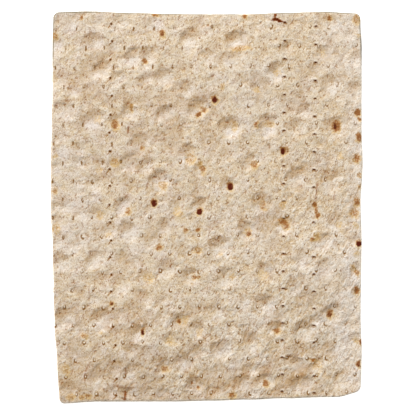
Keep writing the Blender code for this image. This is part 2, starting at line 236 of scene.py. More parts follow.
# hollows of the upper face: centre, width, length and strength of each
hollows = {
    "places": (
        (-104, 141, 14, 13, 0.6), (-85, 143, 13, 12, 0.5), (-68, 142, 20, 15, 0.8), (-41, 143, 18, 14, 0.8),
        (-87, 127, 21, 19, 1.4), (-116, 126, 12, 14, 0.8), (-57, 116, 15, 20, 1.5), (-44, 117, 15, 19, 1.3),
        (-71, 125, 11, 10, 0.6), (-82, 106, 16, 18, 1.5), (-68, 101, 13, 15, 0.9), (-66, 114, 9, 9, 0.5),
        (-32, 101, 19, 17, 1.5), (-47, 99, 12, 13, 0.9), (-114, 99, 15, 13, 0.8), (-103, 91, 12, 13, 0.8),
        (-93, 81, 13, 13, 0.8), (-110, 75, 20, 18, 1.1), (-88, 67, 16, 18, 1.1), (-71, 66, 12, 13, 1),
        (-59, 74, 14, 15, 1.4), (-31, 73, 20, 17, 1.6), (-47, 64, 12, 12, 0.6), (-14, 91, 13, 15, 0.9),
        (-13, 129, 15, 20, 1.4), (-51, 50, 15, 18, 1.2), (-113, 54, 14, 12, 0.6), (-29, 119, 12, 11, 0.5),
        (24, 130, 20, 19, 1.7), (22, 115, 20, 17, 1), (1, 116, 14, 16, 0.9), (54, 105, 15, 18, 1.5),
        (4, 97, 13, 11, 0.7), (38, 92, 11, 12, 0.9), (-6, 77, 18, 20, 1.6), (7, 84, 12, 12, 1),
        (19, 62, 20, 19, 1.6), (48, 63, 18, 19, 1.5), (70, 61, 17, 16, 1.2), (76, 74, 14, 15, 1.2),
        (64, 123, 13, 14, 0.8), (40, 138, 14, 12, 0.5), (7, 137, 12, 14, 0.5), (98, 144, 18, 13, 1),
        (91, 120, 12, 16, 1), (116, 116, 11, 15, 0.9), (96, 94, 16, 20, 0.9), (115, 89, 12, 18, 1),
        (101, 62, 20, 20, 1.2), (86, 108, 10, 12, 0.5), (110, 134, 12, 14, 0.5), (117, 71, 8, 12, 0.8),
        (-113, 45, 14, 12, 0.6), (-98, 46, 14, 12, 0.7), (-60, 34, 18, 16, 1.3), (-47, 32, 14, 15, 1.1),
        (-36, 20, 18, 20, 1.6), (-14, 41, 16, 18, 1.5), (-23, 1, 14, 18, 1.1), (-65, 1, 18, 17, 1.5),
        (-85, -7, 14, 16, 1), (-83, 31, 12, 13, 0.9), (-87, 18, 15, 15, 1), (-100, 17, 13, 12, 0.5),
        (-112, 0, 18, 17, 1.1), (-97, -6, 12, 12, 0.6), (-61, -20, 18, 20, 1.5), (-76, -18, 12, 15, 1),
        (-33, -16, 14, 14, 1), (-43, -28, 14, 16, 0.8), (-87, -42, 18, 18, 1.5), (-112, -43, 17, 17, 1.2),
        (-30, -49, 16, 18, 1.3), (-55, -44, 14, 12, 0.6), (-114, -26, 11, 14, 0.6),
        (-102, -31, 14, 12, 0.7), (-112, -14, 14, 12, 0.6), (-99, 36, 11, 11, 0.5), (-116, 30, 9, 12, 0.5),
        (-74, 10, 10, 10, 0.4), (-4, 30, 10, 14, 1), (-6, 1, 14, 19, 1.4), (17, 17, 13, 15, 1.1),
        (35, 35, 15, 17, 1.2), (60, 43, 11, 12, 1.2), (70, 22, 20, 22, 1.6), (42, 3, 15, 18, 1.5),
        (31, -18, 16, 19, 1.4), (61, -15, 17, 16, 1.5), (11, -31, 20, 20, 1.6), (-7, -34, 11, 11, 0.9),
        (45, -50, 16, 17, 1.3), (15, -55, 18, 18, 1.3), (-12, -54, 17, 16, 1.3), (74, -42, 16, 16, 1.1),
        (85, -2, 9, 14, 1), (98, 20, 18, 20, 1.1), (102, -11, 15, 16, 1.1), (90, -27, 17, 17, 1.3),
        (116, -26, 11, 12, 1), (92, -47, 16, 16, 1.2), (116, 36, 10, 12, 1), (117, -1, 11, 15, 1),
        (116, -48, 10, 11, 0.9), (110, 17, 10, 12, 0.4), (-67, -61, 16, 17, 1.1), (-47, -55, 15, 12, 1),
        (-86, -72, 14, 11, 0.8), (-81, -88, 19, 20, 1.6), (-112, -88, 18, 22, 1.5), (-97, -95, 13, 14, 1),
        (-53, -98, 17, 19, 1.6), (-47, -71, 13, 13, 1), (-21, -88, 17, 16, 1.3), (-27, -104, 13, 13, 0.9),
        (-33, -124, 12, 14, 1.2), (-17, -121, 18, 18, 1.4), (-46, -113, 12, 13, 0.7),
        (-58, -112, 12, 14, 0.7), (-84, -113, 13, 13, 0.7), (-85, -134, 17, 20, 1.1),
        (-59, -130, 16, 19, 1.3), (-70, -126, 12, 13, 1), (-59, -145, 20, 10, 1.2),
        (-76, -144, 11, 10, 0.8), (-45, -144, 13, 10, 0.9), (-35, -143, 10, 11, 0.8),
        (-107, -141, 14, 12, 1), (-101, -112, 14, 15, 0.6), (-30, -72, 12, 12, 0.5),
        (-34, -85, 12, 12, 0.6), (-104, -64, 14, 12, 0.6), (-68, -84, 9, 12, 0.5), (-68, -100, 11, 12, 0.6),
        (7, -82, 18, 18, 1), (46, -76, 17, 18, 1.5), (29, -75, 13, 14, 0.8), (-7, -96, 15, 14, 1.3),
        (12, -111, 20, 17, 1.6), (-6, -112, 12, 13, 1), (35, -106, 17, 19, 1.3), (54, -95, 13, 12, 1.3),
        (76, -97, 18, 18, 1.6), (86, -87, 13, 13, 1), (34, -126, 14, 12, 1.2), (28, -138, 16, 14, 1.4),
        (47, -135, 16, 16, 1.5), (69, -123, 19, 14, 1.5), (74, -138, 20, 16, 1.6), (-8, -138, 15, 14, 1.4),
        (8, -144, 13, 11, 0.6), (36, -146, 13, 8, 0.6), (86, -122, 13, 13, 1.2), (19, -92, 12, 12, 0.5),
        (68, -62, 14, 15, 1), (22, -123, 10, 10, 0.5), (58, -108, 11, 11, 0.6), (98, -83, 18, 19, 1.4),
        (116, -103, 9, 13, 1), (97, -110, 16, 14, 0.8), (104, -135, 16, 14, 1), (116, -66, 9, 12, 1.2),
        (110, -92, 12, 12, 0.5), (94, -62, 12, 10, 0.5),
    ),
    "turn": (-0.5, 0.3),
    "shallow": 0.35,  # depth in millimetres for each unit of strength
    "steep": 0.27,  # more depth for the stronger ones, by the square
    "roundness": 1.25,
    "lean": 0.2,  # the wall on the far left is steeper by this share
    "leanLimits": (0.3, 1.7),
    "seed": 31,
    # how far the rims stray from an ellipse, the size and layers of that noise and its two seeds
    "wander": (1.6, 7.0, 3, 131, 231),
    # where the paints lie: by the way out from the centre, 1 at the rim, and by the way to the far left
    "farLeft": (-0.47, 0.88),
    "inside": (1.05, 0.65),
    # painted shade: the far-left wall of each hollow, turned away from the lamp, is painted darker and
    # browner
    "shadedWall": (0.02, 0.52),
    # painted shade: a thin brown line just inside each hollow's rim, on its far-left side away from the
    # lamp
    "brow": (0.93, 0.11, 1.3),  # a thin line just inside the rim: place, width and rise to the far left
    # the floors: paler crumb, with painted light on the near-right side of each hollow, which faces the
    # lamp
    "floorSide": (0.35, -0.25),
    "floorRim": (1.02, 0.52),
    "floorShare": (0.15, 0.9),  # of any hollow, and more for each unit of strength
    "fullTone": 1.8,
}


def hollowRows():
    # one row for each hollow: centre, half width, half length, strength and a seeded turn
    rng = np.random.default_rng(hollows["seed"])
    return [(x, y, wide / 2, tall / 2, strength, rng.uniform(*hollows["turn"]))
            for x, y, wide, tall, strength in hollows["places"]]


def hollowed(x, y, rows):
    # the depth of bowls with wandering rims, joined by a fourth-power sum, and three shares for paint:
    # painted shade on the walls at the far left and the thin brows at their rims, and the floors at the
    # near right, partly painted light
    wander, size, layers, seedX, seedY = hollows["wander"]
    x = x + wander * layeredNoise(x, y, size, layers, seedX)
    y = y + wander * layeredNoise(x, y, size, layers, seedY)
    towardsX, towardsY = hollows["farLeft"]
    browPlace, browWidth, browRise = hollows["brow"]
    least, more = hollows["floorShare"]
    power, shadedWalls, brows, floors = (np.zeros_like(x) for _ in range(4))
    for centreX, centreY, halfWidth, halfLength, strength, turn in rows:
        dx, dy = x - centreX, y - centreY
        u = dx * math.cos(turn) + dy * math.sin(turn)
        v = dy * math.cos(turn) - dx * math.sin(turn)
        away = np.hypot(u / halfWidth, v / halfLength)
        farLeft = (dx * towardsX + dy * towardsY) / halfWidth
        bowl = held(1.0 - away**2) ** hollows["roundness"]
        depth = strength * (hollows["shallow"] + hollows["steep"] * strength)
        power += (depth * bowl * held(1.0 + hollows["lean"] * farLeft, *hollows["leanLimits"])) ** 4
        shadedWall = fade(farLeft, *hollows["shadedWall"]) * fade(away, *hollows["inside"])
        brow = bell(away - browPlace, browWidth) * smooth(farLeft * browRise)
        floor = fade(farLeft, *hollows["floorSide"]) * fade(away, *hollows["floorRim"])
        shadedWalls = np.maximum(shadedWalls, shadedWall * strength)
        brows = np.maximum(brows, brow * strength)
        floors = np.maximum(floors, floor * (least + more * strength))
    return power**0.25, shadedWalls, brows, floors


# rows of docking marks pressed by the roller, every second row half a pitch along
docking = {
    "firstRow": 138.7,
    "rowPitch": 15.2,
    "rowGain": 0.049,  # each pitch is shorter than the last by twice this
    "rowRise": 2.4,  # how far the rows climb to the right, over the next width
    "riseAcross": 257.0,
    "pitch": 15.13,
    "firstColumn": -108.5,
    "bow": 3.2,
    "drift": 1.7,  # how far the columns lean to the left at the near right corner
    "stray": (0.45, 11.0, 48),  # how far the marks stray, the size of that noise and its seed
    "ringRadius": 1.1,
    "ringWidth": 0.5,
    "ringDepth": 0.05,
    "dimple": 0.1,
    "dimpleRadius": 2.2,
    "strength": (0.8, 0.38),  # at the middle, and the change from the near left to the far right
    "uneven": (0.25, 1.3),  # the share that any mark has, and more by chance
    "dashes": (0.25, 0.6),  # rings turn to dashes from here to here on the way to the far left corner
    "dashUneven": 0.4,
    "dashSeed": 88,
    "chances": (40, 10),
    "seed": 47,
}


def dockingBow(x, y):
    # how far a column of marks stands to the left: an arch along it, and a drift at the near right
    drift = smooth(x / sheet["width"] + 0.5) * smooth(-2.0 * y / sheet["length"])
    return docking["bow"] * (1.0 - (2.0 * y / sheet["length"]) ** 2) + docking["drift"] * drift


def dockingPlace(x, y):
    # column and row number of a point in the roller's lattice; whole numbers are marks
    x, y = shaken(x, y, *docking["stray"])
    column = (x - docking["firstColumn"] + dockingBow(x, y)) / docking["pitch"]
    down = docking["firstRow"] + docking["rowRise"] * (x + sheet["width"] / 2) / docking["riseAcross"] - y
    inside = docking["rowPitch"] ** 2 - 4 * docking["rowGain"] * down
    row = (docking["rowPitch"] - np.sqrt(inside)) / (2 * docking["rowGain"])
    return column, row


def nearestMark(column, row):
    # offset in millimetres to the nearest mark, with its own column and row as whole numbers
    markRow = np.round(row)
    shift = np.where(markRow % 2 == 0, 0.5, 0.0)
    markColumn = np.round(column - shift)
    dx = (column - shift - markColumn) * docking["pitch"]
    dy = (row - markRow) * docking["rowPitch"]
    return dx, dy, markColumn, markRow


def markChance(markColumn, markRow, seed):
    # one seeded random number from 0 to 1 for each mark, from a square with room for those before 0
    size, room = docking["chances"]
    chances = np.random.default_rng(seed).uniform(0.0, 1.0, (size, size))
    return chances[markRow.astype(int) + room, markColumn.astype(int) + room]


def markStrength(x, y, markColumn, markRow):
    # strong at the near left, fading towards the far right, uneven from mark to mark
    middle, change = docking["strength"]
    least, more = docking["uneven"]
    place = middle - change * (x / sheet["width"] + y / sheet["length"])
    return held(place * (least + more * markChance(markColumn, markRow, docking["seed"])))


# three columns of slits: place across at the far end, half-way and near end, then
# the first slit, the pitch and how much each pitch shrinks
slits = {
    "columns": (
        (-74.7, -75.9, -71.3, 143.2, 14.37, 0.0277),
        (61.0, 60.0, 58.8, 143.9, 14.1, 0.021),
        (85.2, 83.4, 83.8, 141.1, 14.15, 0.027),
    ),
    "pitch": 14.1,
    "depth": 0.06,
    "lip": 0.05,
    "lipAside": 1.2,
    "arch": 0.14,
    "slant": 0.8,
    "reach": (1.5, 0.8),
}


def slitPlace(x, y):
    # millimetres across from the nearest column of slits, slit number down it, and which column
    across = np.full_like(x, 1e3)  # far away until a column is nearer
    number = np.zeros_like(x)
    column = np.zeros_like(x)
    for index, (far, middle, near, first, pitch, gain) in enumerate(slits["columns"]):
        aside = x - stepped((near, middle, far), y / sheet["length"] + 0.5)
        count = (pitch - np.sqrt(pitch**2 - 4 * gain * (first - y))) / (2 * gain)
        closer = np.abs(aside) < np.abs(across)
        across = np.where(closer, aside, across)
        number = np.where(closer, count, number)
        column = np.where(closer, float(index), column)
    return across, number, column


# the crumb's own unevenness: wave size, height and number of layers
crumb = {
    "swell": (19.0, 0.22, 2),
    "lumps": (8.5, 0.22, 2),
    "grit": (3.4, 0.13, 2),
    "ridges": (5.0, 0.19, 2),
    "ridgeStretch": 2.6,
    "ridgeTurn": math.radians(52),
    "ridgeShare": (0.3, 0.7),  # at the middle, and more towards the near right
    "calm": 0.45,  # how much flatter the crumb lies in a hollow a millimetre deep
    "seed": 5,
    "seedStep": 40,
    # painted shade: brown bands that join the hollows' shaded walls: from, to, width and strength
    "bands": (
        (20, -139, 31, -129, 3.4, 1), (36, -137, 48, -124, 3.4, 0.9), (62, -138, 78, -125, 3.4, 1),
        (1, -149, 12, -137, 3, 0.8), (50, -147, 58, -139, 3, 0.7), (84, -141, 93, -131, 3, 0.6),
        (88, -118, 97, -106, 2.6, 0.5), (54, -118, 62, -109, 2.6, 0.5), (110, 27, 114, 37, 1.3, 0.6),
        (86.7, 15, 92.6, 25, 1.3, 0.6), (98, 22, 106, 33, 1.3, 0.5), (-8, -106, 2, -101, 2.4, 0.5),
        (-113, -136, -100, -141, 3, 0.8),
    ),
    "bandShare": 0.75,
    # paler patches, or browner ones below 0: centre, radius and by how much
    "patches": (
        (-92, 96, 34, -0.45), (-98, 55, 24, 0.3), (-108, -15, 34, 0.4), (-52, -15, 26, 0.25),
        (-56, -90, 36, -0.36), (-76, -136, 28, -0.3), (114, -80, 30, 0.5), (110, -122, 22, 0.35),
        (96, -30, 22, 0.2), (84, -118, 24, -0.25), (34, 96, 32, 0.3), (62, 130, 22, -0.15),
        (34, -124, 30, 0.3), (44, -20, 24, 0.25), (38, -74, 24, 0.25), (-104, 136, 20, 0.25),
        (-30, 80, 20, -0.3), (-66, 47, 14, -0.25), (14, 144, 22, -0.25), (-17, 143, 12, -0.2),
        (48, 47, 20, 0.2), (-111, 33, 11, 0.25), (-74, -13, 14, -0.2), (-66, 3, 12, -0.2),
        (-14, -14, 14, 0.25), (75, 142, 12, -0.2), (-82, 94, 10, -0.3), (-38, -88, 16, -0.25),
        (-60, -38, 15, 0.25), (-101, -30, 12, 0.2), (108, -72, 14, 0.25), (-8, 81, 12, -0.25),
        (4, -121, 11, 0.25), (-86, -73, 6.5, 0.5), (-71, 124, 6, 0.5), (-67, 99, 7, 0.4),
        (-41, 142, 8, 0.4), (-116, 125, 6, 0.35), (-60, 142, 10, 0.45), (-110, 74, 9, 0.3),
        (-87, 65, 8, 0.3), (-103, 143, 7, 0.3), (-84, 144, 7, 0.3), (-57, 115, 7, 0.3), (22, 113, 9, 0.3),
        (-32, 99, 9, 0.3), (-66, -62, 8, 0.3), (115, 87, 7, 0.3), (-84, -136, 8, 0.45), (-58, -130, 6, 0.4),
        (-69, -110, 6, 0.35), (-96, -118, 7, 0.25), (92, -48, 8, 0.25), (73, -43, 8, 0.2),
        (8, -144, 8, -0.4), (54, -95, 6, -0.2), (8, -81, 8, -0.2), (100, 124, 18, 0.24),
        (-110, -74, 20, -0.14), (-72, -78, 12, -0.1),
    ),
    "patchGain": 1.18,
    "patchFloor": 1.1,
    # the relief read as a tone: the crumb is painted browner where it lies low, as painted shade in its low
    # places
    "reliefTones": (0.5, 0.5),  # millimetres of relief for a full tone, and the tone at none
    "mottle": (0.1, 34.0, 2, 91),
    # browner towards the near left: by how much, from where to where along, and the same across
    "nearLeftDarkening": ((0.34, (-92.0, -132.0), (130.0, 40.0)), (0.2, (-118.0, -138.0), (30.0, -30.0))),
    # painted light: paler towards the right, which the lamp at the far left lights less: from where to
    # where, and what it adds to the crumb and to the floors
    "litTowardsRight": (((70.0, 115.0), 0.16, 0.4), ((104.0, 118.0), 0.2, 0.45)),
}


def fineRelief(x, y):
    # swells, lumps and grit of the crumb, with slanting ridges towards the near right
    total = np.zeros_like(x)
    for place, name in enumerate(("swell", "lumps", "grit")):
        size, height, layers = crumb[name]
        total += height * layeredNoise(x, y, size, layers, crumb["seed"] + crumb["seedStep"] * place)
    size, height, layers = crumb["ridges"]
    turn, stretch = crumb["ridgeTurn"], crumb["ridgeStretch"]
    along = x * math.cos(turn) + y * math.sin(turn)
    aside = y * math.cos(turn) - x * math.sin(turn)
    middle, change = crumb["ridgeShare"]
    share = held(middle + change * toCorner(x, y))
    seed = crumb["seed"] + 4 * crumb["seedStep"]
    return total + share * height * layeredNoise(along / stretch, aside, size, layers, seed)


def patchTones(x, y):
    # the broad patches summed, each a bell round its centre
    total = np.zeros_like(x)
    for centreX, centreY, radius, amount in crumb["patches"]:
        total += amount * bell(np.hypot(x - centreX, y - centreY), radius)
    return crumb["patchGain"] * total


def upperFace(x, y, inset, rows):
    # full thickness plus the crumb's relief, less hollows, docking rings and slits, down to the rim
    depth, *tones = hollowed(x, y, rows)
    dx, dy, markColumn, markRow = nearestMark(*dockingPlace(x, y))
    away = np.hypot(dx, dy)
    ring = docking["ringDepth"] * bell(away - docking["ringRadius"], docking["ringWidth"])
    dimple = docking["dimple"] * bell(away, docking["dimpleRadius"])
    marks = markStrength(x, y, markColumn, markRow) * (ring + dimple)
    across, number, slitColumn = slitPlace(x, y)
    along = (number - np.round(number)) * slits["pitch"]
    reachX, reachY = slits["reach"]
    line = along - np.where(slitColumn == 0, -slits["slant"] * across, slits["arch"] * across**2)
    cut = slits["depth"] * bell(across, reachX) * bell(line, reachY)
    lip = slits["lip"] * bell(across, reachX) * bell(line + slits["lipAside"], reachY)
    calm = 1.0 - crumb["calm"] * held(depth)
    full = sheet["thickness"] + calm * fineRelief(x, y) - depth - marks - cut + lip
    return lift(x, y) + sheet["rimHigh"] + (full - sheet["rimHigh"]) * rim(inset), tones


def underFace(x, y, inset):
    # the table side: the sheet's lift, the turn of the rim and shallow blisters and grit
    bumps = np.zeros_like(x)
    for name in ("blisters", "underGrit"):
        size, layers, seed, start, most, height = sheet[name]
        bumps += height * held(layeredNoise(x, y, size, layers, seed) - start, 0.0, most)
    return lift(x, y) + sheet["rimLow"] * (1.0 - rim(inset)) + standing(x, y) * bumps


# how the sheet is meshed: lines across and along, closer at the marks and the sides
mesh = {
    "linesAcross": 237,
    "linesAlong": 319,
    "samples": 6001,
    "halfColumns": (-2, 34),  # the first half column and row of marks, and one past the last
    "rows": (-1, 22),
    "columnGain": 0.7,
    "columnWidth": 1.3,
    "slitGain": 1.2,
    "rowGain": 1.4,
    "rowWidth": 1.5,
    "sideGain": 2.2,
    "sideWidth": 2.5,
    "sideInset": 0.25,
    "straighten": 20.0,  # within this distance of a side the lines leave the rows of marks
    "follow": 40.0,
}


def crowdedLines(half, count, crowds):
    # places from -half to half whose density is 1 plus a bell at each crowded place
    even = np.linspace(-half, half, mesh["samples"])
    density = np.ones_like(even)
    for places, width, gain in crowds:
        for place in places:
            density += gain * bell(even - place, width)
    total = np.concatenate([[0.0], np.cumsum((density[1:] + density[:-1]) / 2)])
    return np.interp(np.linspace(0.0, total[-1], count), total, even)


def sheetGrid():
    # the plain rectangle's lines, closer at docking rows, columns, slits and sides
    halfWidth = sheet["width"] / 2 - mesh["sideInset"]
    halfLength = sheet["length"] / 2 - mesh["sideInset"]
    halfColumns = docking["pitch"] / 2 * np.arange(*mesh["halfColumns"])
    halfColumns = docking["firstColumn"] - docking["bow"] / 2 + halfColumns
    rows = np.arange(*mesh["rows"])
    down = (docking["rowPitch"] - docking["rowGain"] * rows) * rows
    rowLines = docking["firstRow"] + docking["rowRise"] / 2 - down
    slitLines = [column[1] for column in slits["columns"]]
    sides = mesh["sideWidth"], mesh["sideGain"]
    across = crowdedLines(halfWidth, mesh["linesAcross"], (
        (halfColumns, mesh["columnWidth"], mesh["columnGain"]),
        (slitLines, mesh["columnWidth"], mesh["slitGain"]),
        ((-halfWidth, halfWidth), *sides),
    ))
    along = crowdedLines(halfLength, mesh["linesAlong"], (
        (rowLines, mesh["rowWidth"], mesh["rowGain"]),
        ((-halfLength, halfLength), *sides),
    ))
    return np.meshgrid(across, along)


def laidOut(x, y):
    # lines bent along the docking inside, and brought to the sheet's outline towards the sides
    inset = np.minimum(sheet["width"] / 2 - np.abs(x), sheet["length"] / 2 - np.abs(y))
    inner = smooth(inset / mesh["straighten"])
    bentX = x + inner * (docking["bow"] / 2 - dockingBow(x, y))
    bentY = y + inner * docking["rowRise"] * x / sheet["width"]
    outlineX, outlineY = placed(x, y)
    hold = held(1.0 - inset / mesh["follow"]) ** 2
    return bentX + hold * (outlineX - x), bentY + hold * (outlineY - y), inset


def edgeRing(edge, shared):
    # the widest ring of points round the sheet, half-way up its edge and below the upper face's rim
    plainX, plainY = sheetGrid()
    inset = mesh["sideInset"]
    growX, growY = (1.0 + inset / (sheet[side] / 2 - inset) for side in ("width", "length"))
    x, y = placed(plainX.ravel()[edge] * growX, plainY.ravel()[edge] * growY)
    x, y = strayed(x, y, np.zeros_like(x))
    amount, size, seed = sheet["edgeNoise"]
    z = lift(x, y) + sheet["edgeHeight"] + amount * noise(x, y, size, seed)
    return x, y, np.minimum(z, shared - sheet["edgeStep"])


def perimeter(rows, columns):
    # indices round the edge of a grid, anticlockwise from its near left corner
    grid = np.arange(rows * columns).reshape(rows, columns)
    return np.concatenate([grid[0, :-1], grid[:-1, -1], grid[-1, :0:-1], grid[:0:-1, 0]])


def gridFaces(rows, columns, first, upwards):
    # four corners for each cell, anticlockwise seen from the side that the face looks to
    grid = np.arange(rows * columns).reshape(rows, columns) + first
    corners = [grid[:-1, :-1], grid[:-1, 1:], grid[1:, 1:], grid[1:, :-1]]
    if not upwards:
        corners = corners[::-1]
    return np.stack([corner.ravel() for corner in corners], axis=1)


def edgeFaces(edge, low, outerFirst):
    # four-sided faces from the edge ring up to the upper face, three-sided ones down to the coarser
    # table side, whose rim has every second point
    outer = outerFirst + np.arange(len(edge))
    band = np.stack([outer, np.roll(outer, -1), np.roll(edge, -1), edge], axis=1)
    lowNext = np.roll(low, -1)
    first, second, third = outer[0::2], outer[1::2], np.roll(outer, -2)[0::2]
    corners = (low, second, first), (low, lowNext, second), (lowNext, third, second)
    return band, np.concatenate([np.stack(three, axis=1) for three in corners])


# toasted spots: centre, width, length and how dark, from pale gold at 0 to charred at 1
toast = {
    "spots": (
        (6.5, 83.5, 5, 5.8, 0.97), (-40.6, 3.4, 4.6, 6, 0.98), (-5.5, -3, 5, 5.8, 1),
        (18.5, 15.8, 4.8, 6.2, 1), (59.6, 43.4, 3.6, 5.6, 1), (62, 44, 4.4, 4.6, 0.6),
        (118.6, -28.2, 5, 5.2, 1), (101.2, 62.6, 6.2, 9, 0.72), (100.2, 63.4, 2.8, 5, 0.94),
        (96.2, -83.2, 4.6, 6.4, 0.86), (-49.5, -97, 3.2, 6, 0.92), (-5.8, 71.8, 4, 3.4, 0.86),
        (-2.2, 75.6, 5.2, 5.4, 0.62), (-71, 64, 6.6, 7.6, 0.6), (-71.5, 63, 2.6, 4, 0.7),
        (38.8, 63.8, 2.8, 4.2, 0.86), (40, 66.6, 2, 3, 0.5), (49, 65, 7.6, 5.2, 0.38), (22, 63, 5, 7, 0.42),
        (-3, 29, 4.6, 6, 0.6), (-4.6, 34, 3.6, 4, 0.4), (37.4, 33, 5.2, 6, 0.62),
        (-61, -3.4, 4.2, 5.6, 0.52), (44.4, 1, 5.6, 6.4, 0.55), (59.6, 2.4, 5, 5, 0.42),
        (84, 1.8, 3.6, 3.6, 0.72), (85.4, -2.6, 2.4, 7, 0.66), (86.8, -6.4, 3.6, 4.2, 0.8),
        (60, -11.6, 7, 3.4, 0.66), (62.2, -14, 6, 6, 0.62), (58.6, -10.8, 5.4, 3.4, 0.5),
        (32.8, -21, 3, 4, 0.84), (32.4, -18.6, 5, 6, 0.35), (-16.4, -18, 3.8, 4.4, 0.6),
        (-6.6, -17.4, 2.6, 2.8, 0.76), (-37, -31.4, 6, 5, 0.6), (-6.6, -33.6, 5.4, 5.2, 0.5),
        (82.4, -24.6, 3.6, 3, 0.84), (86, -22, 5, 5, 0.4), (-45, -55, 7, 6.4, 0.36),
        (-9.8, -54.8, 3.4, 3.8, 0.6), (-6.2, -54.6, 3, 2.4, 0.6), (20, -53.6, 4, 4.6, 0.4),
        (-73.4, -75, 3, 4, 0.88), (55, -96.2, 6.4, 4.6, 0.62), (-21.4, -89, 3.2, 4, 0.82),
        (-16.8, -87.4, 5, 6, 0.34), (-95, -100, 4.4, 4.2, 0.55), (-5.6, -97, 5, 7, 0.34),
        (-32.4, -125.8, 5.4, 5.6, 0.55), (-109, -126.6, 4.6, 8, 0.42), (86, -122.6, 7, 7, 0.42),
        (83, -118.4, 4, 2.6, 0.7), (46.2, -137.4, 4.4, 5, 0.66), (-6.6, -139.8, 3.2, 3, 0.7),
        (20, -146.6, 5.4, 5.6, 0.6), (-105.4, -147.6, 6.6, 4.2, 0.45), (-97, -148, 4, 3, 0.5),
        (-92, -147, 4.4, 3.2, 0.5), (-34.4, 135, 4.2, 6.4, 0.84), (-48, 113.6, 4, 3.6, 0.72),
        (-97, 147.4, 3, 4, 0.66), (-39.4, 149.4, 5, 2.4, 0.62), (29.6, 148, 3.2, 4.4, 0.74),
        (96, 147, 3.4, 4.2, 0.74), (116.8, 145.8, 5.4, 7, 0.5), (117.6, 134, 3.6, 3, 0.4),
        (39.2, 91.2, 4.6, 4.6, 0.28), (55, 104.6, 5.2, 5.6, 0.27), (91, 119.4, 3.6, 5, 0.3),
        (-49.8, 46, 3.2, 4, 0.55), (-71, 35, 6.2, 6, 0.45), (-83, 29, 5, 4.4, 0.34),
        (-117.4, 40.4, 3.6, 3.6, 0.34), (26, 123.4, 12.6, 4.4, 0.45), (12, 94.2, 3.2, 4.4, 0.5),
        (-58.6, 76.6, 3, 6.6, 0.5), (-83, -6, 5, 5.6, 0.4), (-76, -20.4, 4, 3, 0.34), (-12, 38, 7, 8, 0.46),
        (-34, 16.6, 7, 6.4, 0.42), (-22, -4, 6, 8, 0.26), (-82, -97, 2, 2, 0.2),
        (117.8, 73.4, 4.6, 5.6, 0.74), (119.6, 68.4, 2.6, 3, 0.7), (118.6, 54, 4, 6.4, 0.8),
        (117, 37.6, 5, 6, 0.64), (119, 25, 2.6, 4, 0.5), (119, 16, 3, 4, 0.5), (117.4, 3.6, 5, 6, 0.66),
        (115.4, -4.4, 7, 6.6, 0.56), (114, -47, 4, 4.6, 0.4), (117.6, -51, 4, 4.2, 0.6),
        (117, -65, 4.4, 6, 0.74), (119.6, -105, 2.4, 4.2, 0.84), (116, -103, 4, 5, 0.34),
        (118.4, -122, 3.4, 6, 0.86), (-118.2, 12.6, 4, 5, 0.52), (-116.8, -16.8, 5.6, 7.4, 0.4),
        (-118, 133, 5, 6, 0.5), (103, -13.4, 4.6, 5, 0.32), (104, 40, 4, 5, 0.25), (116, -14, 3.6, 4, 0.3),
        (117, -36, 4, 4, 0.28), (-27, -104, 6, 7, 0.24), (10.6, -36, 3, 3, 0.35), (44, -53, 8, 6, 0.2),
        (-84.6, 68, 5, 7, 0.22),
    ),
    "wander": (0.7, 3.0, 62),  # how far the borders stray, the size of that noise and its seed
    # the brown of each spot reaches farther on its far-left side, away from the lamp: partly toast, partly
    # painted shade
    "farLeft": (-0.45, 0.75, 0.3),  # the way to the far left, and how much farther the brown goes there
    # each paint: its share for a tone of 0, more for each unit of tone, the most, reach and softness
    "gold": (0.45, 0.7, 2.0, 1.9, 1.2),
    "brown": (-0.3, 1.9, 1.1, 1.55, 1.1),
    "char": (-2.2, 3.2, 1.0, 1.45, 1.0),
    "underSpots": 46,
    "underReach": 0.47,
    "underSizes": (4.0, 13.0),
    "underShapes": (0.75, 1.3),
    "underTones": (0.3, 0.65),
    "seed": 61,
}


def toastTones(x, y, rows):
    # three shares for toast spots: gold spreads widest, then brown, fuller at the far left where it is
    # partly painted shade, then char
    x, y = shaken(x, y, *toast["wander"])
    towardsX, towardsY, farther = toast["farLeft"]
    shares = {name: np.zeros_like(x) for name in ("gold", "brown", "char")}
    for centreX, centreY, width, length, tone in rows:
        across, along = (x - centreX) / (width / 2), (y - centreY) / (length / 2)
        away = np.hypot(across, along)
        farLeft = farther * held(towardsX * across + towardsY * along, -1.0, 1.0)
        for name, total in shares.items():
            least, more, most, reach, softness = toast[name]
            full = min(max(least + more * tone, 0.0), most)
            end = reach + farLeft if name == "brown" else reach
            np.maximum(total, full * smooth((end - away) / softness), out=total)
    return list(shares.values())


def underSpotRows():
    # seeded toast spots for the table side, broader and paler than those above
    rng = np.random.default_rng(toast["seed"])
    count, reach = toast["underSpots"], toast["underReach"]
    least, more = toast["underTones"]
    places = rng.uniform(-reach, reach, (count, 2)) * (sheet["width"], sheet["length"])
    lengths = rng.uniform(*toast["underSizes"], (count, 1)) * rng.uniform(*toast["underShapes"], (count, 2))
    tones = least + more * rng.uniform(0.0, 1.0, (count, 1)) ** 2
    return np.concatenate([places, lengths, tones], axis=1)


